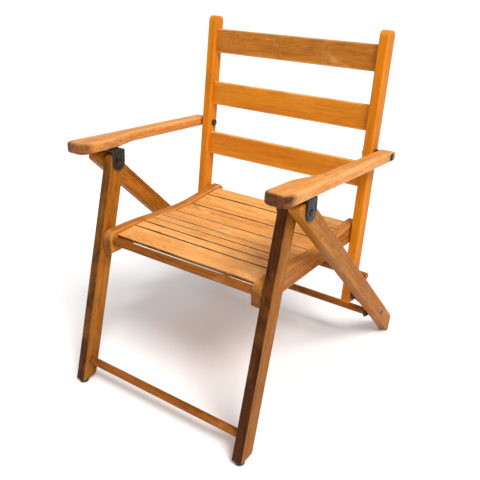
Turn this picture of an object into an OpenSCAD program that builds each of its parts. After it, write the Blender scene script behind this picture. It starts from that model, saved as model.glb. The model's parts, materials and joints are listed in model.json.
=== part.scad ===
// Child's folding wooden armchair with a slatted seat and a slatted back.
// X runs across the chair, Y from the front feet to the back, Z up. Millimetres.
// Side shapes are drawn in the (Y, Z) plane, with Y counted from the front feet,
// and placed() then moves everything so that the origin is under the middle of the chair.

/* [Widths] */
// Clear half width between the two front legs
leg_in = 147; // [140:1:155]
// Thickness across of a front leg and of a back post
leg_t = 16; // [15:0.5:18]
// Room between a back post and a rear leg, where the steel link moves
link_room = 4.5; // [4.2:0.1:6]
// Thickness across of a rear leg
rear_leg_t = 18.4; // [17:0.2:20]
// Thickness across of a seat rail
rail_t = 16; // [15:0.5:17]
// Gap between a seat rail and the leg or post beside it
rail_gap = 1.5; // [1:0.1:2.5]

/* [Pivots, measured from the front feet and the floor] */
// Depth of the pivot in the arm bracket
bracket_y = 116; // [115:0.5:117]
// Height of the pivot in the arm bracket
bracket_z = 341; // [340:0.5:342]
// Depth of the pivot between arm and back post
arm_y = 351.5; // [351:0.5:352]
// Height of the pivot between arm and back post
arm_z = 349.4; // [349:0.1:350]
// Depth of the seat pivot in the front legs
seat_y = 80; // [79.5:0.5:80.5]
// Height of the seat pivot in the front legs
seat_z = 227; // [226.5:0.5:227.5]
// Height of the pivot between seat rail and back post
seat_back_z = 216; // [215.5:0.1:216.5]
// Depth of the upper end of the steel link
link_top_y = 313.4; // [313:0.1:314]
// Height of the upper end of the steel link
link_top_z = 123; // [122.5:0.1:123.5]
// Depth of the pivot between link and rear leg
rear_y = 390; // [389.5:0.5:390.5]
// Height of the pivot between link and rear leg
rear_z = 56; // [55.5:0.5:56.5]
// Depth of the rear stretcher
rear_stretcher_y = 369.5; // [367:0.5:373]
// Height of the rear stretcher
rear_stretcher_z = 61; // [59:0.5:63]
// How far the feet reach below the level from which heights are counted
stand = 2; // [0:0.5:2]

/* [Legs and posts] */
// Depth of a front leg, front to back
front_leg_w = 28; // [26:0.5:28]
// How far a front leg leans back for each millimetre of height
front_lean = 0.303; // [0.29:0.001:0.31]
// Depth of a rear leg, across its length
rear_leg_w = 27.5; // [26:0.5:27.5]
// Height at which the top of a rear leg is cut level
rear_leg_top = 355.4; // [350:0.1:355.5]
// Depth of a back post, front to back
post_w = 22; // [21:0.5:24]
// How far a back post leans back for each millimetre of height
post_lean = 0.151; // [0.148:0.001:0.154]
// Where the centre line of a back post would meet the floor
post_foot_y = 296.8; // [296:0.1:297.5]
// Length along the post from the floor to its lower end
post_from = 108.5; // [106:0.5:110]
// Length along the post from the floor to its upper end
post_to = 532.6; // [500:0.1:540]
// Height of the front stretcher
front_stretcher_z = 33; // [25:0.5:40]
// Diameter of the front stretcher
front_stretcher_d = 12.5; // [11:0.1:13]
// Diameter of the rear stretcher and of the seat's front dowel
dowel_d = 12.6; // [12:0.1:12.6]
// Diameter of the stop dowel
stop_d = 12; // [10:0.1:12]
// How far the stop dowel reaches from the centre
stop_reach = 182; // [176:1:184]

/* [Back slats] */
// Thickness of a back slat
back_slat_t = 7; // [6:0.5:8]
// Height of a back slat
back_slat_h = 39; // [36:0.5:41]
// Middle of the lower back slat, along the post
lower_slat_at = 319.2; // [316:0.1:322]
// Distance from one back slat to the next
back_slat_pitch = 86.7; // [84:0.1:88]

/* [Seat] */
// Thickness of a seat slat
seat_slat_t = 5; // [4:0.5:5.5]
// Gap between two seat slats
slat_gap = 1.8; // [1:0.1:2.5]
// Height of the crown at the front of a seat rail
rail_crown_z = 243; // [241:0.5:243]
// Height of a rail's top edge in the dip where the sitter sits
rail_dip_z = 232.3; // [231.5:0.1:234]
// Height of a rail's top edge at its rear end
rail_rear_z = 237.5; // [236:0.5:239]

/* [Arms] */
// Thickness of an arm
arm_t = 16; // [15:0.5:17]
// Width of the front paddle of an arm
arm_wide = 37; // [35:0.5:39]
// Width of the slim rear part of an arm
arm_slim = 22; // [20:0.5:22.5]
// How far the arm reaches in front of its rear pivot
arm_front = 298.4; // [285:0.1:300]
// Rise of the arm for each millimetre towards the front
arm_rise = 0.08; // [0.07:0.001:0.08]

/* [Steel fittings] */
// Thickness of an arm bracket
bracket_t = 2.8; // [2:0.1:2.8]
// Width of a bracket ear
bracket_w = 23.5; // [22:0.5:26]
// Thickness of a steel link
link_t = 2.5; // [2:0.1:2.8]
// Width of a steel link between its round ends
link_w = 11; // [9:0.5:13]
// Diameter of the round end of a link on the post
link_eye_d = 20; // [18:0.5:21]
// Width of the link's foot, which holds the rear stretcher
link_foot_w = 19; // [17:0.5:20]
// Diameter of the pivot bolts
bolt_d = 6; // [5:0.1:6.5]
// Diameter of the rivets in the links
rivet_d = 5; // [4:0.1:6]

/* [Hidden] */
$fn = 64;
run = 0.06;        // radial clearance where a piece turns on its pin
glue = 0.02;       // radial clearance where a piece is fixed in a hole
socket = 10;       // depth of a dowel's hole in a leg
tenon = 6;         // depth of a slat's tenon
glide_h = 5;       // height of a glide under a front foot
face_gap = 0.3;    // gap between faces that slide past each other
dome_rim = 0.35;   // share of a head's height that is its straight rim
eps = 0.5;         // how far a cutter runs past the face it cuts
beyond = 600;      // size of a cutter that reaches past the whole chair

// stations across the chair, each on the +X side
leg_out = leg_in + leg_t;
rear_in = leg_out + link_room;
rear_out = rear_in + rear_leg_t;
rail_out = leg_in - rail_gap;
rail_in = rail_out - rail_t;
arm_out = rear_out + 4.1;
arm_in = arm_out - arm_slim;
link_in = leg_out + 0.9;
link_out = link_in + link_t;
ear_in = leg_in - 0.4;
ear_out = rear_out + 0.5;

// pivots in the (Y, Z) plane
bracket_p = [bracket_y, bracket_z];
arm_p = [arm_y, arm_z];
seat_p = [seat_y, seat_z];
seat_back_p = [post_foot_y + post_lean * seat_back_z, seat_back_z];
link_p = [link_top_y, link_top_z];
rear_p = [rear_y, rear_z];
rear_stretcher_p = [rear_stretcher_y, rear_stretcher_z];

function unit(v) = v / norm(v);
function square_to(v) = [-v.y, v.x];
// the point at height z on the line through p along d
function at_height(p, d, z) = p + d * (z - p.y) / d.y;

// directions along the sloping members
front_dir = unit([-front_lean, -1]);
front_side = square_to(front_dir);           // towards the back
rear_dir = unit(rear_p - bracket_p);
rear_side = square_to(rear_dir);             // towards the back and up
post_angle = atan(post_lean);
arm_angle = atan(arm_rise);

front_stretcher_p = at_height(bracket_p, front_dir, front_stretcher_z);

// the stop dowel lies on the post's centre line and just clears the rear leg's upper edge
stop_off = rear_leg_w / 2 + stop_d / 2 + face_gap;
stop_z = (stop_off + rear_side * (bracket_p - [post_foot_y, 0])) / (rear_side * [post_lean, 1]);
stop_p = [post_foot_y + post_lean * stop_z, stop_z];

// overall depth: from the front edge of the front feet to the heels of the rear legs
heel_z = 28.5 - stand;
foot_z = glide_h - stand;
foot_front = at_height(bracket_p - front_side * front_leg_w / 2, front_dir, foot_z);
heel_top = at_height(bracket_p + rear_side * rear_leg_w / 2, rear_dir, heel_z);
rounding_shift = 0.26;      // the heel is rounded more than the front foot
middle_y = (foot_front.x + heel_top.x) / 2 + rounding_shift;

// one corner b between a and c, rounded with radius r
function corner(a, b, c, r, steps = 8) =
    let (u = unit(a - b), v = unit(c - b), half = acos(u * v) / 2,
         middle = b + unit(u + v) * r / sin(half),
         p = b + u * r / tan(half) - middle, q = b + v * r / tan(half) - middle,
         start = atan2(p.y, p.x), raw = atan2(q.y, q.x) - start,
         turn = raw - 360 * round(raw / 360))
    [for (i = [0:steps]) middle + r * [cos(start + turn * i / steps), sin(start + turn * i / steps)]];

// a polygon's points with every corner rounded by its own radius
function rounded(pts, radii) =
    let (n = len(pts))
    [for (i = [0:n - 1])
        each (radii[i] > 0 ? corner(pts[(i + n - 1) % n], pts[i], pts[(i + 1) % n], radii[i]) : [pts[i]])];

// a rectangle's points from corner a to corner b with rounded corners
function round_box(a, b, r) = rounded([a, [b.x, a.y], b, [a.x, b.y]], [r, r, r, r]);

module placed() translate([0, -middle_y, stand]) children();
module on_side(side) mirror([side < 0 ? 1 : 0, 0, 0]) children();

// extrudes a (Y, Z) outline from x0 to x1
module slab(x0, x1) translate([x0, 0, 0]) rotate([90, 0, 90]) linear_extrude(x1 - x0) children();
// a round bar, or a cutter for one, along X through p
module rod(p, x0, x1, d) translate([x0, p.x, p.y]) rotate([0, 90, 0]) cylinder(h = x1 - x0, d = d);
// a low domed head on the face at x, rising away from the centre above a short straight rim
module dome(p, x, d, h) translate([x, p.x, p.y]) rotate([0, 90, 0]) rotate_extrude()
    polygon(concat([[0, 0], [d / 2, 0]],
                   [for (a = [0:90 / 8:90]) [d / 2 * cos(a), h * (dome_rim + (1 - dome_rim) * sin(a))]]));
// the frame of the back post: local Z runs up the post's centre line
module post_frame() translate([0, post_foot_y, 0]) rotate([-post_angle, 0, 0]) children();
// the frame of the arm: local Y runs along the arm, and the rear pivot is at its origin
module arm_frame() translate([0, arm_y, arm_z]) rotate([-arm_angle, 0, 0]) children();

// ---- front frame ----

module front_leg(side) color("#a8662f") on_side(side) {
    half = front_side * front_leg_w / 2;
    top = bracket_p - front_dir * front_leg_w / 2;
    difference() {
        slab(leg_in, leg_out) polygon(rounded(
            [top - half, top + half,
             at_height(bracket_p + half, front_dir, foot_z), foot_front],
            [front_leg_w / 2 - 0.1, front_leg_w / 2 - 0.1, 7, 2.5]));
        rod(bracket_p, leg_in - eps, leg_out + eps, bolt_d + 2 * run);
        rod(seat_p, leg_in - eps, leg_in + socket, dowel_d + 2 * run);
        rod(front_stretcher_p, leg_in - eps, leg_in + socket, front_stretcher_d + 2 * glue);
        translate(glide_at()) cylinder(h = glide_peg_h + 1, d = glide_peg_d + 2 * glue);
    }
}

glide_d = 14.6;
glide_peg_d = 3;
glide_peg_h = 13;        // from the floor
function glide_at() = [leg_in + leg_t / 2, foot_front.x + 9.6, -stand];

module front_stretcher() color("#b87434")
    rod(front_stretcher_p, 0.3 - leg_in - socket, leg_in + socket - 0.3, front_stretcher_d);

module glide(side) color("#1d1b1a") on_side(side) translate(glide_at()) {
    rotate_extrude() polygon([[0, 0], [glide_d / 2 - 1.2, 0], [glide_d / 2, 1],
                              [glide_d / 2, glide_h], [0, glide_h]]);
    cylinder(h = glide_peg_h, d = glide_peg_d);
}

// ---- rear legs ----

module rear_leg(side) color("#c08552") on_side(side) {
    half = rear_side * rear_leg_w / 2;
    tip_z = -2.3 - stand;      // the rounded tip of the foot then just meets the floor
    difference() {
        slab(rear_in, rear_out) polygon(rounded(
            [at_height(bracket_p - half, rear_dir, rear_leg_top),
             at_height(bracket_p + half, rear_dir, rear_leg_top),
             heel_top, at_height(bracket_p - half, rear_dir, tip_z)],
            [7, 1.5, 3, 3]));
        rod(bracket_p, rear_in - eps, rear_out + eps, bolt_d + 2 * run);
        rear_screw_shape(glue);
    }
}

// an oval-headed wood screw, driven in from the rear leg's outer face
module rear_screw_shape(grow) {
    rod(rear_p, rear_in + 1.5 - grow, rear_out, 4.4 + 2 * grow);
    translate([rear_out, rear_p.x, rear_p.y]) rotate([0, -90, 0])
        cylinder(h = 2.4, r1 = 4.3 + grow, r2 = 2.2 + grow);
    if (grow > 0)
        rod(rear_p, rear_out - 0.01, rear_out + eps, 8.6 + 2 * grow);
}

module rear_leg_screws() color("#2a2522") for (side = [-1, 1]) on_side(side) {
    rear_screw_shape(0);
    dome(rear_p, rear_out, 8.6, 0.9);
}

// ---- back ----

back_slat_front = 3.6;      // how far a back slat's front face stands before the post's centre line
function slat_section(grow) =
    let (front = -back_slat_front - grow, half = back_slat_h / 2 + grow)
    round_box([front, -half], [front + back_slat_t + 2 * grow, half], 1.6);

module back_slat_shape(index, reach, grow = 0) post_frame()
    translate([0, 0, lower_slat_at + index * back_slat_pitch])
        slab(-reach, reach) polygon(slat_section(grow));

module back_post(side) color("#c77d3a") on_side(side) difference() {
    post_frame() slab(leg_in, leg_out) polygon(rounded(
        [[-post_w / 2, post_from], [post_w / 2, post_from], [post_w / 2, post_to], [-post_w / 2, post_to]],
        [2, 5, 8, 8]));
    for (index = [0:2]) intersection() {
        back_slat_shape(index, leg_in + tenon + glue, glue);
        translate([leg_in - eps, 0, 0]) cube([tenon + eps + glue, beyond, beyond]);
    }
    rod(arm_p, leg_in - eps, leg_out + eps, bolt_d + 2 * run);
    rod(seat_back_p, leg_in - eps, leg_in + socket, seat_pin_d + 2 * seat_pin_room);
    rod(link_p, leg_in - eps, leg_out + eps, rivet_d + 2 * run);
    rod(stop_p, leg_in - eps, leg_out + eps, stop_d + 2 * glue);
}

module back_slat(index) color(["#c8742c", "#c9782f", "#b26a30"][index])
    back_slat_shape(index, leg_in + tenon);

module stop_dowel() color("#a8552a") rod(stop_p, -stop_reach, stop_reach, stop_d);

// ---- links and rear stretcher ----

// a strap with a round eye on the post, and a broader foot that runs from the rear stretcher
// to the pivot at the rear leg
module link(side) color("#232221") on_side(side) difference() {
    union() {
        rod(link_p, link_in, link_out, link_eye_d);
        slab(link_in, link_out) polygon(strap(link_p, rear_p, link_w / 2));
        slab(link_in, link_out) polygon(strap(rear_stretcher_p, rear_p, link_foot_w / 2));
    }
    for (p = [link_p, rear_p, rear_stretcher_p])
        rod(p, link_in - eps, link_out + eps, rivet_d + 2 * glue);
}

// the outline of a straight strap from a to b with half round ends
function strap(a, b, r) =
    let (d = unit(b - a), start = atan2(d.y, d.x) + 90)
    concat([for (turn = [0:180 / 16:180]) a + r * [cos(start + turn), sin(start + turn)]],
           [for (turn = [180:180 / 16:360]) b + r * [cos(start + turn), sin(start + turn)]]);

module link_rivets() color("#2b2927") for (side = [-1, 1]) on_side(side) {
    rod(link_p, leg_in - 0.4, link_out + 0.5, rivet_d);
    rod(link_p, leg_in - 1.3, leg_in - 0.3, 2 * rivet_d);
    rod(link_p, link_out, link_out + 0.6, 1.8 * rivet_d);
    rod(rear_p, link_in - 0.6, link_out + 0.5, rivet_d);
}

// its ends are riveted into the feet of the links
module rear_stretcher() color("#bf6f2c") {
    rod(rear_stretcher_p, -link_in, link_in, dowel_d);
    rod(rear_stretcher_p, -link_out, link_out, rivet_d);
}

// ---- seat ----

seat_pin_d = 6;         // pin between a seat rail and a back post
seat_pin_room = 3.6;    // room around it in the post, because the fold is opened here
crown_y = 95;
dip_y = 252;
rail_front_y = 69;
rail_rear_y = 354;
rail_flat_y = 340;        // the top edge is level from here to the rear end
rail_front_under_z = 209;
rail_rear_under_z = 205;
slat_top = [236.7, 238.3, 227.4, 232.3];    // front edge, crown, dip and rear edge of the slats' tops
slat_crown_y = 140;
slat_dip_y = 258;
// where one seat slat ends and the next begins, from front to back
slat_edges = [85.2, 124.8, 145.6, 167, 187.6, 222.1, 266.3, 309.6, 343];

// smooth change from a to b as t goes from 0 to 1
function ease(a, b, t) = a + (b - a) * (1 - cos(180 * max(0, min(1, t)))) / 2;
function rail_top(y) = y < dip_y ? ease(rail_crown_z, rail_dip_z, (y - crown_y) / (dip_y - crown_y))
    : ease(rail_dip_z, rail_rear_z, (y - dip_y) / (rail_flat_y - dip_y));
function slat_z(y) = y < slat_crown_y
    ? slat_top[1]
        - (slat_top[1] - slat_top[0]) * pow((slat_crown_y - y) / (slat_crown_y - slat_edges[0]), 2)
    : y < slat_dip_y ? ease(slat_top[1], slat_top[2], (y - slat_crown_y) / (slat_dip_y - slat_crown_y))
    : ease(slat_top[2], slat_top[3], (y - slat_dip_y) / (slat_edges[8] - slat_dip_y));

rail_front_under = [rail_front_y, rail_front_under_z];
rail_front_over = [rail_front_y, rail_crown_z];
rail_rear_over = [rail_rear_y, rail_rear_z];
rail_rear_under = [rail_rear_y, rail_rear_under_z];
rail_outline = concat(
    corner(rail_rear_under, rail_front_under, rail_front_over, 3),
    corner(rail_front_under, rail_front_over, [crown_y, rail_crown_z], 12),
    [for (y = [crown_y:10:rail_flat_y - 5]) [y, rail_top(y)]],
    corner([rail_flat_y, rail_rear_z], rail_rear_over, rail_rear_under, 10),
    corner(rail_rear_over, rail_rear_under, rail_front_under, 10));

module seat_rail(side) color("#b9702f") on_side(side) difference() {
    slab(rail_in, rail_out) polygon(rail_outline);
    for (index = [0:7]) intersection() {
        seat_slat_shape(index, rail_in + tenon + glue, glue);
        translate([rail_in - eps, 0, 0]) cube([tenon + eps + glue, beyond, beyond]);
    }
    rod(seat_p, rail_in - eps, rail_out + eps, dowel_d + 2 * glue);
    rod(seat_back_p, rail_in - eps, rail_out + eps, seat_pin_d + 2 * glue);
}

module seat_slat_shape(index, reach, grow = 0) {
    y0 = slat_edges[index] + (index == 0 ? 0 : slat_gap / 2);
    y1 = slat_edges[index + 1] - slat_gap / 2;
    a = [y0, slat_z(y0)];
    b = [y1, slat_z(y1)];
    along = unit(b - a);
    up = square_to(along);
    slab(-reach, reach) polygon(rounded(
        [a + (up - along) * grow, b + (up + along) * grow,
         b - up * seat_slat_t + (along - up) * grow, a - up * seat_slat_t - (along + up) * grow],
        [1.4, 1.4, 1, 1]));
}

module seat_slat(index) color(index % 2 == 0 ? "#dda05c" : "#d6964f")
    seat_slat_shape(index, rail_in + tenon);

module seat_front_dowel() color("#b06a30")
    rod(seat_p, 0.5 - leg_in - socket, leg_in + socket - 0.5, dowel_d);

module seat_rear_pins() color("#2b2927") for (side = [-1, 1]) on_side(side) {
    rod(seat_back_p, rail_in - 1, leg_in + socket - 1.5, seat_pin_d);
    rod(seat_back_p, rail_in - 2.2, rail_in, 2 * seat_pin_d);
}

// ---- arms ----

// depth of the bracket pivot along the arm, and its distance below the arm's centre line
bracket_local = let (v = bracket_p - arm_p)
    [v.x * cos(arm_angle) - v.y * sin(arm_angle), v.x * sin(arm_angle) + v.y * cos(arm_angle)];

arm_behind = 13.5;      // how far the arm reaches behind its pivot
step_rear = -178;       // the slim part begins here
step_front = -232;      // the broad paddle ends here
step_r = 45;            // radius of the two bends of the step

// plan of an arm: a broad paddle in front, then an S-shaped step to the slim rear part
arm_plan = rounded(
    [[arm_in, arm_t], [arm_in, step_rear], [arm_out - arm_wide, step_front],
     [arm_out - arm_wide, -arm_front], [arm_out, -arm_front], [arm_out, arm_t]],
    [0, step_r, step_r, 13, 11, 0]);

module arm(side) color("#d08a49") on_side(side) difference() {
    arm_frame() intersection() {
        translate([0, 0, -arm_t / 2]) linear_extrude(arm_t) polygon(arm_plan);
        slab(0, arm_out + eps) polygon(rounded(
            [[-arm_front, -arm_t / 2], [arm_behind, -arm_t / 2],
             [arm_behind, arm_t / 2], [-arm_front, arm_t / 2]],
            [0, arm_t / 2 - 0.1, arm_t / 2 - 0.1, 0]));
    }
    rod(arm_p, arm_in - eps, arm_out + eps, bolt_d + 2 * glue);
    bracket_screw_shape(glue);
}

// a steel saddle: a plate under the arm and two ears that hold the front leg and the rear leg
module arm_bracket(side) color("#2b2826") on_side(side) difference() {
    arm_frame() translate([0, bracket_local.x, -arm_t / 2]) {
        translate([ear_in - bracket_t, -bracket_w / 2, -bracket_t])
            cube([ear_out - ear_in + 2 * bracket_t, bracket_w, bracket_t]);
        for (x = [ear_in - bracket_t, ear_out])
            slab(x, x + bracket_t) polygon(ear_outline());
    }
    rod(bracket_p, ear_in - bracket_t - eps, ear_out + bracket_t + eps, bolt_d + 2 * glue);
    bracket_screw_shape(glue);
}

function ear_outline() =
    let (r = bracket_w / 2, drop = bracket_local.y + arm_t / 2)
    concat([[r, 0], [-r, 0]],
           [for (i = [0:20]) [r * cos(180 + i * 9), drop + r * sin(180 + i * 9)]]);

// two countersunk screws, driven up through the bracket's plate
module bracket_screw_shape(grow) arm_frame() for (across = [0.27, 0.73])
    translate([ear_in + across * (ear_out - ear_in), bracket_local.x, -arm_t / 2 - bracket_t]) {
        cylinder(h = 12 + grow, r = 1.7 + grow);
        cylinder(h = 2, r1 = 3.7 + grow, r2 = 1.7 + grow);
    }

module bracket_screws() color("#3a3633") for (side = [-1, 1]) on_side(side) bracket_screw_shape(0);

module bracket_bolt(side) color("#2a2725") on_side(side) {
    rod(bracket_p, ear_in - bracket_t - ring_t, ear_out + bracket_t + 0.4, bolt_d);
    dome(bracket_p, ear_out + bracket_t, 9.6, 1.6);
}

// flat rings over which the ends of the bracket bolts are peened
ring_t = 0.9;
module bracket_rings() color("#2a2725") for (side = [-1, 1]) on_side(side) difference() {
    rod(bracket_p, ear_in - bracket_t - ring_t, ear_in - bracket_t, 12);
    rod(bracket_p, ear_in - bracket_t - ring_t - eps, ear_in, bolt_d + 2 * glue);
}

module arm_bolt(side) color("#2a2725") on_side(side) {
    rod(arm_p, leg_in - 3.4, arm_out + 0.4, bolt_d);
    dome(arm_p, arm_out, 11, 2.6);
}

module arm_nuts() color("#2a2725") for (side = [-1, 1]) on_side(side) difference() {
    translate([leg_in - 3.3, arm_p.x, arm_p.y]) rotate([0, 90, 0]) cylinder(h = 3, r = 5.6, $fn = 6);
    rod(arm_p, leg_in - 3.3 - eps, leg_in, bolt_d + 2 * glue);
}

// rings that keep the moving pieces apart on the two upper bolts
module pivot_spacers() color("#3a3633") for (side = [-1, 1]) on_side(side) {
    for (ring = [[bracket_p, rear_in], [arm_p, arm_in]]) difference() {
        rod(ring[0], leg_out + face_gap, ring[1] - face_gap, 15);
        rod(ring[0], leg_out, ring[1], bolt_d + 2 * glue);
    }
}

placed() front_leg(1);  // left_front_leg
placed() front_leg(-1);  // right_front_leg
placed() front_stretcher();
placed() glide(1);  // left_glide
placed() glide(-1);  // right_glide
placed() rear_leg(1);  // left_rear_leg
placed() rear_leg(-1);  // right_rear_leg
placed() rear_leg_screws();
placed() back_post(1);  // left_back_post
placed() back_post(-1);  // right_back_post
placed() back_slat(0);  // lower_back_slat
placed() back_slat(1);  // middle_back_slat
placed() back_slat(2);  // top_back_slat
placed() stop_dowel();
placed() link(1);  // left_link
placed() link(-1);  // right_link
placed() link_rivets();
placed() rear_stretcher();
placed() seat_rail(1);  // left_seat_rail
placed() seat_rail(-1);  // right_seat_rail
placed() seat_slat(0);  // seat_slat_1
placed() seat_slat(1);  // seat_slat_2
placed() seat_slat(2);  // seat_slat_3
placed() seat_slat(3);  // seat_slat_4
placed() seat_slat(4);  // seat_slat_5
placed() seat_slat(5);  // seat_slat_6
placed() seat_slat(6);  // seat_slat_7
placed() seat_slat(7);  // seat_slat_8
placed() seat_front_dowel();
placed() seat_rear_pins();
placed() arm(1);  // left_arm
placed() arm(-1);  // right_arm
placed() arm_bracket(1);  // left_arm_bracket
placed() arm_bracket(-1);  // right_arm_bracket
placed() bracket_screws();
placed() bracket_bolt(1);  // left_bracket_bolt
placed() bracket_bolt(-1);  // right_bracket_bolt
placed() bracket_rings();
placed() arm_bolt(1);  // left_arm_bolt
placed() arm_bolt(-1);  // right_arm_bolt
placed() arm_nuts();
placed() pivot_spacers();
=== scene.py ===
"""Looks of a child's folding wooden armchair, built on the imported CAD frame.

Metres, in the frame of the CAD model: the sitter faces -Y, +X is the sitter's left, the floor is Z = 0.
"""

import json
import math
import random

import bmesh
import bpy
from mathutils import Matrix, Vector
from mathutils import noise


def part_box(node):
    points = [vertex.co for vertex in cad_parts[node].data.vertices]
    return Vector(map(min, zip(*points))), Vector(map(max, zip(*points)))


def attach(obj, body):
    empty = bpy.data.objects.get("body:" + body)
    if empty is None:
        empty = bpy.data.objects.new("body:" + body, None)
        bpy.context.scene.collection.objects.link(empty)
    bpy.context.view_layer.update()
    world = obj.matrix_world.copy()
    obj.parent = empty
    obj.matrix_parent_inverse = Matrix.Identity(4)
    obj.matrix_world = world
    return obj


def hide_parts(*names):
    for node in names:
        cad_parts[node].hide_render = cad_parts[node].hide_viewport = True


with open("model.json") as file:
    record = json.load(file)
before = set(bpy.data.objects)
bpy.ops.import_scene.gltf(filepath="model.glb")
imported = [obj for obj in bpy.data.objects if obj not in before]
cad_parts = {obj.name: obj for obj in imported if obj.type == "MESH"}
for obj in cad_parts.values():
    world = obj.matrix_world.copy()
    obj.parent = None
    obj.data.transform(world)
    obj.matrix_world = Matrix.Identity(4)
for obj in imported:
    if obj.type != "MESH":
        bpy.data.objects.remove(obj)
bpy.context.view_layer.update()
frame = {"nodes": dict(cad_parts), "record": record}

MM = 0.001
WELD = 2e-6            # points closer than this, in metres, are one point
SIDES = ("left", "right")
X_AXIS = Vector((1, 0, 0))
NODE_BODY = {
    node: body
    for body, nodes in frame["record"]["behaviour"]["bodies"].items()
    for node in nodes
}
NODE_SLOT = {row["node"]: row["material_slot"] for row in frame["record"]["subparts"]}


# ---------------------------------------------------------------- colours and shader helpers


def srgb(red, green, blue):
    """A linear RGBA colour from 0-255 display values."""
    def linear(value):
        value /= 255
        return value / 12.92 if value <= 0.04045 else ((value + 0.055) / 1.055) ** 2.4

    return (linear(red), linear(green), linear(blue), 1.0)


class Graph:
    """A small helper to wire shader nodes."""

    def __init__(self, name):
        self.material = bpy.data.materials.new(name)
        self.material.use_nodes = True
        self.tree = self.material.node_tree
        self.surface = self.tree.nodes["Principled BSDF"]

    def node(self, kind, **settings):
        made = self.tree.nodes.new(kind)
        for key, value in settings.items():
            setattr(made, key, value)
        return made

    def link(self, source, target):
        if isinstance(source, (int, float, tuple)):
            target.default_value = source
        else:
            self.tree.links.new(source, target)

    def attribute(self, name):
        return self.node("ShaderNodeAttribute", attribute_name=name)

    def scaled(self, vector, scale, shift=(0, 0, 0)):
        mapping = self.node("ShaderNodeMapping")
        mapping.inputs["Scale"].default_value = scale
        mapping.inputs["Location"].default_value = shift
        self.link(vector, mapping.inputs["Vector"])
        return mapping.outputs["Vector"]

    def noise(self, vector, scale=1.0, detail=3.0, roughness=0.5, distortion=0.0):
        made = self.node("ShaderNodeTexNoise")
        self.link(vector, made.inputs["Vector"])
        made.inputs["Scale"].default_value = scale
        made.inputs["Detail"].default_value = detail
        made.inputs["Roughness"].default_value = roughness
        made.inputs["Distortion"].default_value = distortion
        return made.outputs["Fac"]

    def ramp(self, value, low, high, out_low=0.0, out_high=1.0):
        """Maps value from low..high to out_low..out_high with a smooth step."""
        made = self.node("ShaderNodeMapRange", interpolation_type="SMOOTHSTEP")
        self.link(value, made.inputs["Value"])
        limits = (("From Min", low), ("From Max", high), ("To Min", out_low), ("To Max", out_high))
        for key, number in limits:
            made.inputs[key].default_value = number
        return made.outputs["Result"]

    def math(self, operation, first, second=0.0):
        made = self.node("ShaderNodeMath", operation=operation)
        self.link(first, made.inputs[0])
        self.link(second, made.inputs[1])
        return made.outputs["Value"]

    def mix(self, factor, first, second):
        """Mixes two colours; the node keeps its colour sockets at 6 and 7, and its result at 2."""
        made = self.node("ShaderNodeMix", data_type="RGBA", blend_type="MIX")
        self.link(factor, made.inputs["Factor"])
        self.link(first, made.inputs[6])
        self.link(second, made.inputs[7])
        return made.outputs[2]

    def bump(self, height, distance, strength=1.0):
        made = self.node("ShaderNodeBump")
        made.inputs["Strength"].default_value = strength
        made.inputs["Distance"].default_value = distance
        self.link(height, made.inputs["Height"])
        return made.outputs["Normal"]


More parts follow.
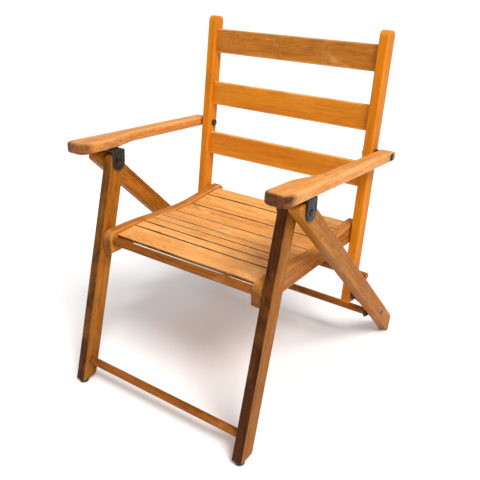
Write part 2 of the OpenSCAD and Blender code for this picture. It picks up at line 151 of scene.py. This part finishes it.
def wood(name, light, middle, dark, worn, grime=0.3, wear=0.5, edge_wear=0.6, scratches=0.0,
         shaded=0.0, streaks=0.42, fibres=0.5, speckle=0.2, specular=0.18):
    """Lacquered, straight-grained wood.

    The grain attribute holds each piece's own coordinates in metres, with X along the board, so
    every board has its own figure. The edge attribute is 1 on the rounded edges, where the lacquer
    is rubbed thin, and the shade attribute is 1 where the wood is painted darker: dirt at the arms'
    front ends, dirt and painted shade on faces that look forward, painted shade on the seat slats'
    sides in their gaps, and a darkening given per piece that changes from top to foot.
    """
    g = Graph(name)
    grain = g.attribute("grain").outputs["Vector"]
    edge = g.attribute("edge").outputs["Fac"]
    shade = g.attribute("shade").outputs["Fac"]

    # growth rings: bands across the board, bent slowly along it, with fibres, pores and clouds
    bend = g.noise(g.scaled(grain, (5, 14, 14)), detail=2)
    shift = g.node("ShaderNodeCombineXYZ")
    g.link(g.math("MULTIPLY", bend, 0.022), shift.inputs["Y"])
    g.link(g.math("MULTIPLY", bend, 0.013), shift.inputs["Z"])
    moved = g.node("ShaderNodeVectorMath", operation="ADD")
    g.link(grain, moved.inputs[0])
    g.link(shift.outputs["Vector"], moved.inputs[1])
    ring_space = g.scaled(moved.outputs["Vector"], (1.4, 120, 75))
    rings = g.noise(ring_space, detail=2.5, roughness=0.62)
    ring_line = g.ramp(rings, 0.52, 0.68)

    figure = g.noise(g.scaled(grain, (3.2, 38, 38)), detail=4, roughness=0.6, distortion=0.25)
    fibre = g.noise(g.scaled(grain, (17, 430, 430)), detail=4, roughness=0.75)
    fleck = g.ramp(g.noise(g.scaled(grain, (120, 900, 900)), detail=2), 0.6, 0.72)
    cloud = g.noise(g.scaled(grain, (11, 17, 17)), detail=4, roughness=0.55)

    colour = g.mix(g.ramp(figure, 0.34, 0.68), light, middle)
    colour = g.mix(g.math("MULTIPLY", ring_line, streaks), colour, dark)
    colour = g.mix(g.ramp(fibre, 0.42, 0.7, 0.0, fibres), colour, dark)
    ribbon = g.noise(g.scaled(grain, (75, 230, 230), (2, 6, 9)), detail=3, roughness=0.6)
    colour = g.mix(g.ramp(ribbon, 0.46, 0.72, 0.0, speckle), colour, dark)
    colour = g.mix(g.ramp(cloud, 0.5, 0.78, 0.0, 0.35), colour, middle)
    colour = g.mix(g.math("MULTIPLY", fleck, 0.5), colour, dark)

    # handling: lacquer rubbed thin on the edges and in patches, grime in the low patches
    rub = g.noise(g.scaled(grain, (21, 34, 34), (3, 1, 2)), detail=5, roughness=0.62)
    patch = g.ramp(rub, 0.56, 0.8, 0.0, wear)
    rubbed_edge = g.math("MULTIPLY", g.math("MULTIPLY", edge, edge_wear), g.ramp(rub, 0.3, 0.62, 0.25, 1.0))
    bare = g.math("MAXIMUM", patch, rubbed_edge)
    colour = g.mix(bare, colour, worn)
    dirt = g.noise(g.scaled(grain, (15, 27, 27), (7, 5, 1)), detail=6, roughness=0.68)
    dark_share = g.ramp(dirt, 0.55, 0.78, 0.0, grime)
    colour = g.mix(dark_share, colour, srgb(74, 42, 20))

    # darkening from the shade attribute, dirt and painted shade together, deepest where the wood is not
    # rubbed clean
    dirt_and_shade = g.math("MULTIPLY", shade, g.ramp(rub, 0.3, 0.7, shaded, shaded * 0.65))
    colour = g.mix(dirt_and_shade, colour, g.mix(g.ramp(fibre, 0.35, 0.65), dark, srgb(46, 22, 5)))

    # thin scratches at two slants, in patches
    scratch_height = 0.0
    if scratches:
        lines = []
        for turn, stretch in ((0.5, 210.0), (-0.9, 170.0)):
            spun = g.node("ShaderNodeVectorRotate", rotation_type="Z_AXIS")
            spun.inputs["Angle"].default_value = turn
            g.link(grain, spun.inputs["Vector"])
            thin = g.noise(g.scaled(spun.outputs["Vector"], (9, stretch, 9)), detail=0.5)
            near = g.math("ABSOLUTE", g.math("SUBTRACT", thin, 0.5))
            lines.append(g.ramp(near, 0.0, 0.016, 1.0, 0.0))
        where = g.ramp(g.noise(g.scaled(grain, (19, 25, 25), (1, 8, 4)), detail=3), 0.54, 0.66)
        marked = [g.math("MULTIPLY", line, where) for line in lines]
        scratch_height = g.math("MULTIPLY", g.math("MAXIMUM", marked[0], marked[1]), -scratches)
        colour = g.mix(g.math("MULTIPLY", marked[0], 0.6 * scratches), colour, srgb(112, 66, 30))
        colour = g.mix(g.math("MULTIPLY", marked[1], 0.7 * scratches), colour, worn)
    g.link(colour, g.surface.inputs["Base Color"])

    # the lacquer shines unevenly, and least where it is worn or dirty
    shine = g.ramp(cloud, 0.25, 0.75, 0.36, 0.52)
    shine = g.math("ADD", shine, g.math("MULTIPLY", g.math("MAXIMUM", bare, dark_share), 0.16))
    g.link(shine, g.surface.inputs["Roughness"])
    g.surface.inputs["Coat Weight"].default_value = specular / 6
    g.surface.inputs["Coat Roughness"].default_value = 0.22
    g.surface.inputs["Specular IOR Level"].default_value = specular

    relief = g.math("ADD", g.math("MULTIPLY", fibre, 0.35), g.math("MULTIPLY", rings, 0.5))
    relief = g.math("ADD", relief, g.math("MULTIPLY", fleck, -0.3))
    relief = g.math("ADD", relief, g.math("MULTIPLY", cloud, 1.6))
    relief = g.math("ADD", relief, scratch_height)
    g.link(g.bump(relief, 0.00035, 0.8), g.surface.inputs["Normal"])
    return g.material


def steel(name, base, rub, rust, roughness, metallic, rust_amount):
    """Blackened steel: mottled, rubbed towards bare metal in places, with a little brown rust."""
    g = Graph(name)
    place = g.node("ShaderNodeTexCoord").outputs["Object"]
    mottle = g.noise(place, 160, 5, 0.6)
    speck = g.noise(place, 900, 3, 0.6)
    patches = g.noise(place, 55, 4, 0.6)
    colour = g.mix(g.ramp(mottle, 0.35, 0.7), base, rub)
    colour = g.mix(g.ramp(patches, 0.52, 0.74, 0.0, rust_amount), colour, rust)
    colour = g.mix(g.ramp(speck, 0.62, 0.75, 0.0, 0.35), colour, rust)
    g.link(colour, g.surface.inputs["Base Color"])
    g.link(g.ramp(mottle, 0.3, 0.75, roughness - 0.09, roughness + 0.12), g.surface.inputs["Roughness"])
    g.surface.inputs["Metallic"].default_value = metallic
    relief = g.math("ADD", mottle, g.math("MULTIPLY", speck, 0.4))
    g.link(g.bump(relief, 0.00018, 0.7), g.surface.inputs["Normal"])
    return g.material


def plastic(name, base, scuffed):
    """Black moulded glide, scuffed grey where it slides on floors."""
    g = Graph(name)
    place = g.node("ShaderNodeTexCoord").outputs["Object"]
    scuff = g.noise(place, 420, 5, 0.65)
    colour = g.mix(g.ramp(scuff, 0.5, 0.75, 0.0, 0.5), base, scuffed)
    g.link(colour, g.surface.inputs["Base Color"])
    g.link(g.ramp(scuff, 0.35, 0.75, 0.38, 0.7), g.surface.inputs["Roughness"])
    g.link(g.bump(scuff, 0.0001, 0.5), g.surface.inputs["Normal"])
    return g.material


def floor_material():
    """A plain pale studio floor with the faintest unevenness."""
    g = Graph("studio_floor")
    place = g.node("ShaderNodeTexCoord").outputs["Object"]
    tone = g.ramp(g.noise(place, 3, 3, 0.5), 0.3, 0.7)
    g.link(g.mix(tone, (0.86, 0.855, 0.855, 1), (0.88, 0.877, 0.877, 1)), g.surface.inputs["Base Color"])
    g.surface.inputs["Roughness"].default_value = 0.6
    g.surface.inputs["Specular IOR Level"].default_value = 0.2
    return g.material


MATERIALS = {
    "arm_wood": wood("arm_wood", srgb(230, 156, 80), srgb(210, 134, 56), srgb(122, 64, 16),
                     srgb(242, 192, 132), grime=0.5, wear=0.4, edge_wear=0.3, shaded=1.4, streaks=0.22,
                     speckle=0.3),
    "seat_slat_wood": wood("seat_slat_wood", srgb(240, 173, 92), srgb(226, 149, 66), srgb(144, 76, 22),
                           srgb(252, 208, 150), grime=0.32, wear=0.8, edge_wear=0.45, scratches=1.0,
                           shaded=1.0, streaks=0.3, speckle=0.26),
    "post_wood": wood("post_wood", srgb(219, 133, 16), srgb(204, 114, 8), srgb(132, 58, 3),
                      srgb(234, 162, 70), grime=0.3, wear=0.2, edge_wear=0.25, streaks=0.12, fibres=0.3,
                      speckle=0.1, specular=0.08),
    "back_slat_wood": wood("back_slat_wood", srgb(218, 136, 26), srgb(204, 116, 12), srgb(136, 64, 5),
                           srgb(244, 180, 96), grime=0.22, wear=0.3, edge_wear=0.7, streaks=0.14,
                           fibres=0.35, speckle=0.14),
    "top_slat_wood": wood("top_slat_wood", srgb(192, 120, 34), srgb(170, 96, 20), srgb(100, 48, 6),
                          srgb(228, 172, 110), grime=0.45, wear=0.9, edge_wear=0.6, scratches=1.0,
                          streaks=0.22, fibres=0.4),
    "rail_wood": wood("rail_wood", srgb(208, 132, 56), srgb(182, 104, 32), srgb(98, 50, 12),
                      srgb(232, 166, 90), grime=0.55, wear=0.35, edge_wear=0.45, shaded=0.8,
                      streaks=0.35, speckle=0.3, specular=0.1),
    "leg_wood": wood("leg_wood", srgb(190, 120, 38), srgb(160, 92, 20), srgb(78, 38, 6),
                     srgb(196, 134, 70), grime=0.5, wear=0.3, edge_wear=0.14, shaded=1.2,
                     streaks=0.32, speckle=0.35, specular=0.08),
    "dowel_wood": wood("dowel_wood", srgb(160, 92, 22), srgb(128, 68, 11), srgb(70, 32, 4),
                       srgb(204, 144, 76), grime=0.85, wear=0.5, edge_wear=0.4, specular=0.12),
    "black_steel": steel("black_steel", srgb(38, 36, 36), srgb(66, 62, 60), srgb(70, 46, 30),
                         roughness=0.45, metallic=0.6, rust_amount=0.5),
    "bolt_steel": steel("bolt_steel", srgb(34, 30, 28), srgb(82, 74, 66), srgb(76, 48, 30),
                        roughness=0.38, metallic=0.75, rust_amount=0.5),
    "glide_plastic": plastic("glide_plastic", srgb(24, 23, 23), srgb(78, 76, 74)),
}


# ---------------------------------------------------------------- reading shapes from the CAD nodes


def cad_mesh(node):
    """A welded copy of a CAD node's mesh."""
    bm = bmesh.new()
    bm.from_mesh(frame["nodes"][node].data)
    bmesh.ops.remove_doubles(bm, verts=bm.verts, dist=WELD)
    bm.normal_update()
    return bm


def long_axis(node):
    """The direction in which a node reaches furthest, found from its corners by power iteration."""
    points = [v.co.copy() for v in frame["nodes"][node].data.vertices]
    middle = sum(points, Vector()) / len(points)
    axis = Vector((0.31, 0.87, 0.4))
    for _ in range(24):
        axis = sum(((p - middle) * (p - middle).dot(axis) for p in points), Vector()).normalized()
    return axis


def broad_normal(node, roughly):
    """The normal of a node's largest flat face that looks roughly one way."""
    areas = {}
    bm = cad_mesh(node)
    for face in bm.faces:
        if face.normal.dot(roughly) > 0.9:
            key = tuple(round(value, 4) for value in face.normal)
            areas[key] = areas.get(key, 0) + face.calc_area()
    bm.free()
    return Vector(max(areas, key=areas.get)).normalized()


def face_outline(node, normal):
    """The outer edge of a node's flat face that looks along normal, counter-clockwise about it."""
    bm = cad_mesh(node)
    furthest = max(v.co.dot(normal) for v in bm.verts)
    inside = {f for f in bm.faces if f.normal.dot(normal) > 0.999
              and abs(f.calc_center_median().dot(normal) - furthest) < 2e-5}
    following = {}
    for face in inside:
        for loop in face.loops:
            if sum(other in inside for other in loop.edge.link_faces) == 1:
                following[loop.vert.index] = loop.link_loop_next.vert.index
    bm.verts.ensure_lookup_table()
    rings = []
    while following:
        start = min(following)    # not the first found, so that every run gives the same ring
        ring = [start]
        here = following.pop(start)
        while here != start:
            ring.append(here)
            here = following.pop(here)
        rings.append([bm.verts[i].co.copy() for i in ring])
    bm.free()
    return max(rings, key=lambda ring: sum((a - b).length for a, b in zip(ring, ring[1:] + ring[:1])))


def spaced(ring, support=1.6 * MM, longest=14 * MM):
    """Adds points along a ring's long edges, close to their ends first, so that they shade flat."""
    out = []
    for a, b in zip(ring, ring[1:] + ring[:1]):
        length = (b - a).length
        out.append(a)
        if length > 3 * support:
            stops = max(1, math.ceil((length - 2 * support) / longest))
            for i in range(stops + 1):
                out.append(a.lerp(b, (support + (length - 2 * support) * i / stops) / length))
    return out


def gap_to(point, ring):
    """The distance from a point to a closed ring of points."""
    best = 1.0
    for a, b in zip(ring, ring[1:] + ring[:1]):
        step = b - a
        share = max(0.0, min(1.0, (point - a).dot(step) / step.length_squared))
        best = min(best, (a + step * share - point).length)
    return best


def meeting(point_a, way_a, point_b, way_b, normal):
    """Where two lines in one plane meet, or halfway between the points when they run parallel."""
    turn = normal.dot(way_a.cross(way_b))
    if abs(turn) < 0.05:
        return (point_a + point_b) / 2
    return point_a + way_a * (normal.dot((point_b - point_a).cross(way_b)) / turn)


def inset(ring, normal, distance):
    """A ring moved inwards by distance in its own plane; corners tighter than that become points."""
    if distance == 0:
        return [p.copy() for p in ring]
    moved = []
    for before, here, after in zip(ring[-1:] + ring[:-1], ring, ring[1:] + ring[:1]):
        side_a = normal.cross(here - before).normalized()
        side_b = normal.cross(after - here).normalized()
        across = side_a + side_b
        across = across.normalized() if across.length > 1e-6 else side_a
        moved.append(here + across * distance / max(0.35, across.dot(side_a)))
    count = len(ring)
    sound = [gap_to(p, ring) > 0.985 * distance for p in moved]
    if all(sound) or sum(sound) < 4:
        return moved
    out = list(moved)
    for i in range(count):
        if sound[i]:
            continue
        low, high = i - 1, i + 1
        while not sound[low % count]:
            low -= 1
        while not sound[high % count]:
            high += 1
        way_a = (ring[low % count] - ring[(low - 1) % count]).normalized()
        way_b = (ring[(high + 1) % count] - ring[high % count]).normalized()
        out[i] = meeting(moved[low % count], way_a, moved[high % count], way_b, normal)
    return out


# ---------------------------------------------------------------- pieces


def finish_piece(bm, name, node, marks):
    """Turns a bmesh into the visible piece for a CAD node, with its grain, edge and shade attributes.

    marks holds (edge, shade) for every vertex: how exposed to wear it is, and how darkened.
    """
    edge_layer = bm.verts.layers.float.new("edge")
    shade_layer = bm.verts.layers.float.new("shade")
    grain_layer = bm.verts.layers.float_vector.new("grain")
    low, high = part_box(node)
    middle = (low + high) / 2
    along = long_axis(node)
    across = along.cross(X_AXIS)
    across = across.normalized() if across.length > 0.3 else Vector((0, 1, 0))
    third = along.cross(across)
    dice = random.Random(name)
    shift = Vector((dice.uniform(-3, 3), dice.uniform(-3, 3), dice.uniform(-3, 3)))
    for vertex, (edge, shade) in zip(bm.verts, marks):
        p = vertex.co - middle
        vertex[edge_layer], vertex[shade_layer] = edge, shade
        vertex[grain_layer] = Vector((p.dot(along), p.dot(across), p.dot(third))) + shift
    bmesh.ops.remove_doubles(bm, verts=bm.verts, dist=WELD)
    bmesh.ops.recalc_face_normals(bm, faces=bm.faces)
    mesh = bpy.data.meshes.new(name)
    bm.to_mesh(mesh)
    bm.free()
    piece = bpy.data.objects.new(name, mesh)
    bpy.context.scene.collection.objects.link(piece)
    for polygon in mesh.polygons:
        polygon.use_smooth = True
    weighted = piece.modifiers.new("flat_faces", "WEIGHTED_NORMAL")
    weighted.weight = 60
    slot_name = NODE_SLOT[node]
    mesh.materials.append(MATERIALS[slot_name])
    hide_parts(node)
    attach(piece, NODE_BODY[node])


def skin(rings):
    """A bmesh that joins rings of equally many points with quads and closes the ends."""
    bm = bmesh.new()
    rows = [[bm.verts.new(p) for p in ring] for ring in rings]
    for row, following in zip(rows, rows[1:]):
        count = len(row)
        for i in range(count):
            j = (i + 1) % count
            bm.faces.new((row[i], row[j], following[j], following[i]))
    bm.faces.new(list(reversed(rows[0])))
    bm.faces.new(rows[-1])
    return bm


def turning(ring):
    """How much each point of a ring belongs to a tight corner, from 0 to 1."""
    out = []
    for before, here, after in zip(ring[-1:] + ring[:-1], ring, ring[1:] + ring[:1]):
        bend = (here - before).angle(after - here, 0.0)
        reach = max((here - before).length, (after - here).length)
        out.append(min(1.0, bend / 0.12) if reach < 2.4 * MM or bend > 0.5 else min(1.0, bend / 0.35))
    return out


def plank(node, normal, rounding, forward=None, round_end=None, dull=(0.0, 0.0), front_darkening=1.0,
          soiled=0.0):
    """A board whose outline is the CAD node's flat face, with its edges rounded over.

    forward is the way its darker side looks, painted darker partly as dirt and partly as painted
    shade, by a weight that also scales the dirt at its front end; round_end is (direction, radius)
    for an end that is also rounded through the thickness; dull darkens the whole piece, by one
    amount at its top and another at its foot; soiled is how far the dirt of hands reaches back from
    its front end.
    """
    outline = spaced(face_outline(node, normal))
    points = [v.co for v in frame["nodes"][node].data.vertices]
    top = max(p.dot(normal) for p in points)
    thickness = top - min(p.dot(normal) for p in points)
    low_z, high_z = min(p.z for p in points), max(p.z for p in points)
    front_y = min(p.y for p in points)

    # levels through the thickness: (depth, distance inside the outline, edge wear, sideways share)
    levels = [(0.0, rounding + (4.5 if soiled else 2.2) * MM, 0.0, 0.0)]
    edge_wear = (0.6, 0.95, 1.0, 0.95, 0.6)
    for i, worn in enumerate(edge_wear):
        turn = math.radians(90 * i / (len(edge_wear) - 1))
        depth, inward = rounding * (1 - math.cos(turn)), rounding * (1 - math.sin(turn))
        levels.append((depth, inward, worn, math.sin(turn) ** 0.8))
    inner = 7 if round_end else 1
    first, last = rounding + 1.6 * MM, thickness - rounding - 1.6 * MM
    middle_levels = [(first + (last - first) * i / inner, 0.0, 0.0, 1.0) for i in range(inner + 1)]
    mirrored = [(thickness - depth, inward, worn, side) for depth, inward, worn, side in reversed(levels)]

    far = max(p.dot(round_end[0]) for p in outline) if round_end else 0.0
    corners = turning(outline)
    outward = []
    for before, after in zip(outline[-1:] + outline[:-1], outline[1:] + outline[:1]):
        outward.append((after - before).cross(normal).normalized())
    rings, marks = [], []
    for depth, inward, worn, side in levels + middle_levels + mirrored:
        ring = [p - normal * depth for p in inset(outline, normal, inward)]
        if round_end:
            direction, radius = round_end
            height = min(abs(depth - thickness / 2), radius)
            reach = math.sqrt(radius ** 2 - height ** 2)
            for i, p in enumerate(outline):
                closeness = 1 - min(1.0, (far - p.dot(direction)) / (0.8 * MM))
                ring[i] += direction * reach * closeness
        rings.append(ring)
        near = 0.0 if inward > rounding else max(0.35 + 0.65 * side, float(depth > thickness / 2))
        for p, corner, out in zip(outline, corners, outward):
            # faces that look forward are painted darker, partly as dirt and partly as painted shade
            shade = max(0.0, out.dot(forward)) * side * front_darkening if forward else 0.0
            if soiled:
                reached = min(1.0, max(0.0, 2 - 2 * (p.y - front_y) / soiled))
                shade = max(shade, front_darkening * near * reached)
            shade += dull[1] + (dull[0] - dull[1]) * (p.z - low_z) / (high_z - low_z)
            marks.append((max(worn, corner * side * 0.8), min(1.0, shade)))
    finish_piece(skin(rings), node.replace("_", "-") + ".board", node, marks)


def sawn(point, size):
    """A tiny unevenness of a hand-finished surface, in metres."""
    return noise.noise(point * 34) * size + noise.noise(point * 110 + Vector((5, 1, 2))) * size * 0.35


def slat(node, wobble, painted_gap_shade=False, rubbed=0.0):
    """A slat along X from its CAD section, with slightly uneven faces.

    Its long sides can be darkened as painted shade in the gaps between the slats, and rubbed is how
    far the lacquer is worn off all over.
    """
    low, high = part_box(node)
    section = spaced(face_outline(node, X_AXIS), support=1.2 * MM, longest=7 * MM)
    middle = sum(section, Vector()) / len(section)
    tight = turning(section)
    # the long sides, where they face along Y, get painted shade for the gaps between the slats
    side = []
    for before, after in zip(section[-1:] + section[:-1], section[1:] + section[:1]):
        out = (after - before).cross(X_AXIS).normalized()
        side.append(min(1.0, max(0.0, abs(out.y) * 1.9 - 0.3)) if painted_gap_shade else 0.0)
    stations = 46
    dice = random.Random(node)
    drift = Vector((dice.uniform(-9, 9), dice.uniform(-9, 9), dice.uniform(-9, 9)))
    rings, marks = [], []
    for i in range(stations + 1):
        x = high.x + (low.x - high.x) * i / stations
        ring = []
        for p, worn, dark_share in zip(section, tight, side):
            at = Vector((x, p.y, p.z))
            outward = Vector((0, p.y - middle.y, p.z - middle.z)).normalized()
            ring.append(at + outward * (sawn(at + drift, wobble) - wobble))
            marks.append((max(worn, rubbed), dark_share))
        rings.append(ring)
    finish_piece(skin(rings), node.replace("_", "-") + ".slat", node, marks)


def dowel(node, radius, reach, wobble=0.1 * MM):
    """A turned dowel along X, a little uneven, with eased ends."""
    low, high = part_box(node)
    middle = (low + high) / 2
    sides, stations = 48, 60
    dice = random.Random(node)
    drift = Vector((dice.uniform(-9, 9), dice.uniform(-9, 9), dice.uniform(-9, 9)))
    ease = 0.8 * MM
    spots = [(-reach, radius - ease), (-reach + 0.35 * ease, radius - 0.3 * ease), (-reach + ease, radius)]
    spots += [(-reach + ease + (2 * reach - 2 * ease) * i / stations, radius) for i in range(1, stations)]
    spots += [(-x, r) for x, r in reversed(spots[:3])]
    rings, marks = [], []
    for x, r in spots:
        ring = []
        for k in range(sides):
            turn = Vector((0, math.cos(math.tau * k / sides), math.sin(math.tau * k / sides)))
            at = Vector((x, middle.y, middle.z)) + turn * r
            ring.append(at + turn * (sawn(at + drift, wobble) - wobble))
            marks.append((0.8 if abs(x) > reach - 1.2 * ease else 0.0, 0.0))
        rings.append(ring)
    finish_piece(skin(rings), node.replace("_", "-") + ".dowel", node, marks)


def soften(node, width, segments=2):
    """Eases the edges of a CAD node that is shown as it is."""
    piece = frame["nodes"][node]
    weld = piece.modifiers.new("weld", "WELD")
    weld.merge_threshold = WELD
    bevel = piece.modifiers.new("ease", "BEVEL")
    bevel.width = width
    bevel.segments = segments
    bevel.limit_method = "ANGLE"
    bevel.angle_limit = math.radians(40)
    piece.data.materials.clear()
    piece.data.materials.append(MATERIALS[NODE_SLOT[node]])
    for polygon in piece.data.polygons:
        polygon.use_smooth = True
        polygon.material_index = 0


def build_wood():
    front = Vector((0, -1, 0))
    # side, sign of X, darkening at (top, foot), and the strength of the front faces' dirt and painted shade
    sides = (("left", 1, (0.2, 0.26), 1.0), ("right", -1, (0.0, 0.32), 0.75))
    for side, sign, dull, front_darkening in sides:
        outward = X_AXIS * sign
        plank(f"{side}_front_leg", outward, 2.2 * MM, front, dull=dull, front_darkening=front_darkening)
        plank(f"{side}_rear_leg", outward, 2.4 * MM, dull=(dull[0] / 3, dull[0] / 3))
        plank(f"{side}_back_post", outward, 2.6 * MM)
        # on the sitter's left this darkens the whole seat rail: painted shade for the shade on its outer
        # face
        plank(f"{side}_seat_rail", outward, 2.2 * MM, front, dull=(dull[0], dull[0]))
        up = broad_normal(f"{side}_arm", Vector((0, 0, 1)))
        backward = X_AXIS.cross(up) * -1
        plank(f"{side}_arm", up, 3.8 * MM, front, round_end=(backward, 7.9 * MM), front_darkening=front_darkening,
              soiled=24 * MM)
    for name in ("lower", "middle", "top"):
        slat(f"{name}_back_slat", 0.12 * MM)
    lacquer_worn = (0.38, 0.26, 0.18, 0.1, 0.05, 0.0, 0.0, 0.0)    # from the front slat back
    # seat slats: painted shade on their sides in the gaps, and lacquer worn off towards the front
    for number, rubbed in enumerate(lacquer_worn, start=1):
        slat(f"seat_slat_{number}", 0.16 * MM, painted_gap_shade=True, rubbed=rubbed)
    for node in ("front_stretcher", "stop_dowel", "seat_front_dowel"):
        low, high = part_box(node)
        dowel(node, (high.z - low.z) / 2, (high.x - low.x) / 2)
    low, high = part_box("rear_stretcher")
    link_low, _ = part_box("left_link")
    dowel("rear_stretcher", (high.z - low.z) / 2, link_low.x)


def build_steel():
    for side in SIDES:
        soften(f"{side}_arm_bracket", 0.5 * MM, 3)
        soften(f"{side}_link", 0.5 * MM, 3)
        soften(f"{side}_arm_bolt", 0.2 * MM)
        soften(f"{side}_bracket_bolt", 0.2 * MM)
        soften(f"{side}_glide", 0.3 * MM)
    for node in ("rear_leg_screws", "link_rivets", "seat_rear_pins", "bracket_screws", "bracket_rings",
                 "arm_nuts", "pivot_spacers"):
        soften(node, 0.15 * MM)


# ---------------------------------------------------------------- studio


ZENITH_LIGHT, HORIZON_LIGHT = 0.8, 0.42
KEY_LIGHT, KEY_FROM = 2.9, (0.62, -0.3, 0.9)
CAMERA_PLACE = (0.5426, -0.7472, 0.6571)
CAMERA_TURN = (64.327, 0.116, 35.640)
CAMERA_LENS, SENSOR_WIDTH = 48.226, 36


def build_studio():
    bm = bmesh.new()
    bmesh.ops.create_grid(bm, x_segments=8, y_segments=8, size=15)
    mesh = bpy.data.meshes.new("studio_floor")
    bm.to_mesh(mesh)
    bm.free()
    floor = bpy.data.objects.new("studio_floor", mesh)
    mesh.materials.append(floor_material())
    bpy.context.scene.collection.objects.link(floor)

    world = bpy.data.worlds.new("studio")
    world.use_nodes = True
    tree = world.node_tree
    direction = tree.nodes.new("ShaderNodeTexCoord")
    split = tree.nodes.new("ShaderNodeSeparateXYZ")
    blend = tree.nodes.new("ShaderNodeMapRange")
    blend.inputs["To Min"].default_value = HORIZON_LIGHT
    blend.inputs["To Max"].default_value = ZENITH_LIGHT
    tree.links.new(direction.outputs["Generated"], split.inputs["Vector"])
    tree.links.new(split.outputs["Z"], blend.inputs["Value"])
    tree.links.new(blend.outputs["Result"], tree.nodes["Background"].inputs["Strength"])
    tree.nodes["Background"].inputs["Color"].default_value = (1, 1, 1, 1)
    bpy.context.scene.world = world

    # a large soft key high on the right and in front
    data = bpy.data.lights.new("key", "SUN")
    data.energy = KEY_LIGHT
    data.angle = math.radians(24)
    key = bpy.data.objects.new("key", data)
    key.rotation_euler = Vector(KEY_FROM).to_track_quat("Z", "Y").to_euler()
    bpy.context.scene.collection.objects.link(key)


def build_camera():
    """The camera stands in front of the chair, to the sitter's left, and looks down at it."""
    data = bpy.data.cameras.new("camera")
    data.sensor_width = SENSOR_WIDTH
    data.lens = CAMERA_LENS
    camera = bpy.data.objects.new("camera", data)
    bpy.context.scene.collection.objects.link(camera)
    camera.location = CAMERA_PLACE
    camera.rotation_euler = [math.radians(a) for a in CAMERA_TURN]
    bpy.context.scene.camera = camera


build_wood()
build_steel()
build_studio()
build_camera()
bpy.context.scene.view_settings.view_transform = "Standard"
